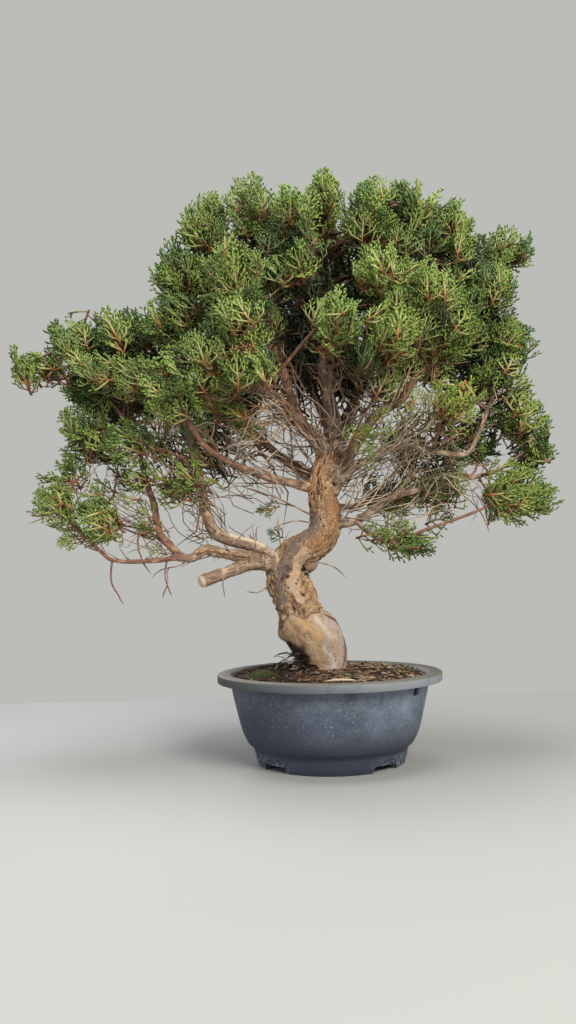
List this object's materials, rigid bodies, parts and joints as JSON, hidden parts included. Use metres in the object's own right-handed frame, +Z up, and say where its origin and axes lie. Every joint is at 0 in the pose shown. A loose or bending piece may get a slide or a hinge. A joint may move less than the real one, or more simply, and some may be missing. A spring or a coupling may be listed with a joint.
{
  "type": "kishu juniper bonsai",
  "caption": "Juniper bonsai with a thick curving trunk, spreading limbs and dense masses of fine cord foliage, planted in a round dark plastic training pot.",
  "frame": {"origin": "middle of the footprint of the whole plant, at the height that the pot stands on", "axes": "+Z up, +X to the right seen from the front of the tree, +Y to its back"},
  "size_m": [0.5252, 0.2768, 0.5714],
  "materials": {
    "pot_plastic": "matte, scuffed, with mineral bloom",
    "soil_mix": "rough grains under shed brown scale twigs",
    "pumice_gravel": "rough",
    "screen_plastic": "satin",
    "clip_wire": "drawn",
    "moss": "matt, short pile",
    "juniper_bark": "flaking bark, smooth where peeled",
    "juniper_foliage": "waxy scale leaves"
  },
  "bodies": {
    "root": {"drain_screen": "screen_plastic", "drainage_gravel": "pumice_gravel", "foliage_back_low_left": "juniper_foliage", "foliage_back_low_right": "juniper_foliage", "foliage_back_mid": "juniper_foliage", "foliage_crown_back_right": "juniper_foliage", "foliage_crown_back_top": "juniper_foliage", "foliage_crown_front_left": "juniper_foliage", "foliage_crown_front_mid": "juniper_foliage", "foliage_crown_front_right": "juniper_foliage", "foliage_crown_left_back": "juniper_foliage", "foliage_crown_left_low": "juniper_foliage", "foliage_crown_left_side": "juniper_foliage", "foliage_crown_left_top": "juniper_foliage", "foliage_crown_peak": "juniper_foliage", "foliage_crown_right_low": "juniper_foliage", "foliage_crown_right_mid": "juniper_foliage", "foliage_crown_right_shoulder": "juniper_foliage", "foliage_crown_right_side": "juniper_foliage", "foliage_crown_right_top": "juniper_foliage", "foliage_crown_sprig": "juniper_foliage", "foliage_crown_top": "juniper_foliage", "foliage_crown_top_left": "juniper_foliage", "foliage_crown_top_right": "juniper_foliage", "foliage_drop_fan": "juniper_foliage", "foliage_front_fan_left": "juniper_foliage", "foliage_front_fan_lower": "juniper_foliage", "foliage_front_fan_upper": "juniper_foliage", "foliage_left_back": "juniper_foliage", "foliage_left_core": "juniper_foliage", "foliage_left_front_fan": "juniper_foliage", "foliage_left_hang": "juniper_foliage", "foliage_left_hang_tip": "juniper_foliage", "foliage_left_inner": "juniper_foliage", "foliage_left_knob": "juniper_foliage", "foliage_left_lower": "juniper_foliage", "foliage_left_mid_fan": "juniper_foliage", "foliage_left_shoulder": "juniper_foliage", "foliage_left_tip": "juniper_foliage", "foliage_right_body": "juniper_foliage", "foliage_right_deep": "juniper_foliage", "foliage_right_inner": "juniper_foliage", "foliage_right_knob": "juniper_foliage", "foliage_right_low_mass": "juniper_foliage", "foliage_right_tier_low": "juniper_foliage", "foliage_right_tier_mid": "juniper_foliage", "foliage_right_tier_top": "juniper_foliage", "foliage_right_under": "juniper_foliage", "foliage_right_wing": "juniper_foliage", "foliage_right_yellow": "juniper_foliage", "moss_front": "moss", "moss_left": "moss", "moss_right": "moss", "pot": "pot_plastic", "screen_clip": "clip_wire", "soil": "soil_mix", "trunk_and_limbs": "juniper_bark"}
  },
  "joints": []
}
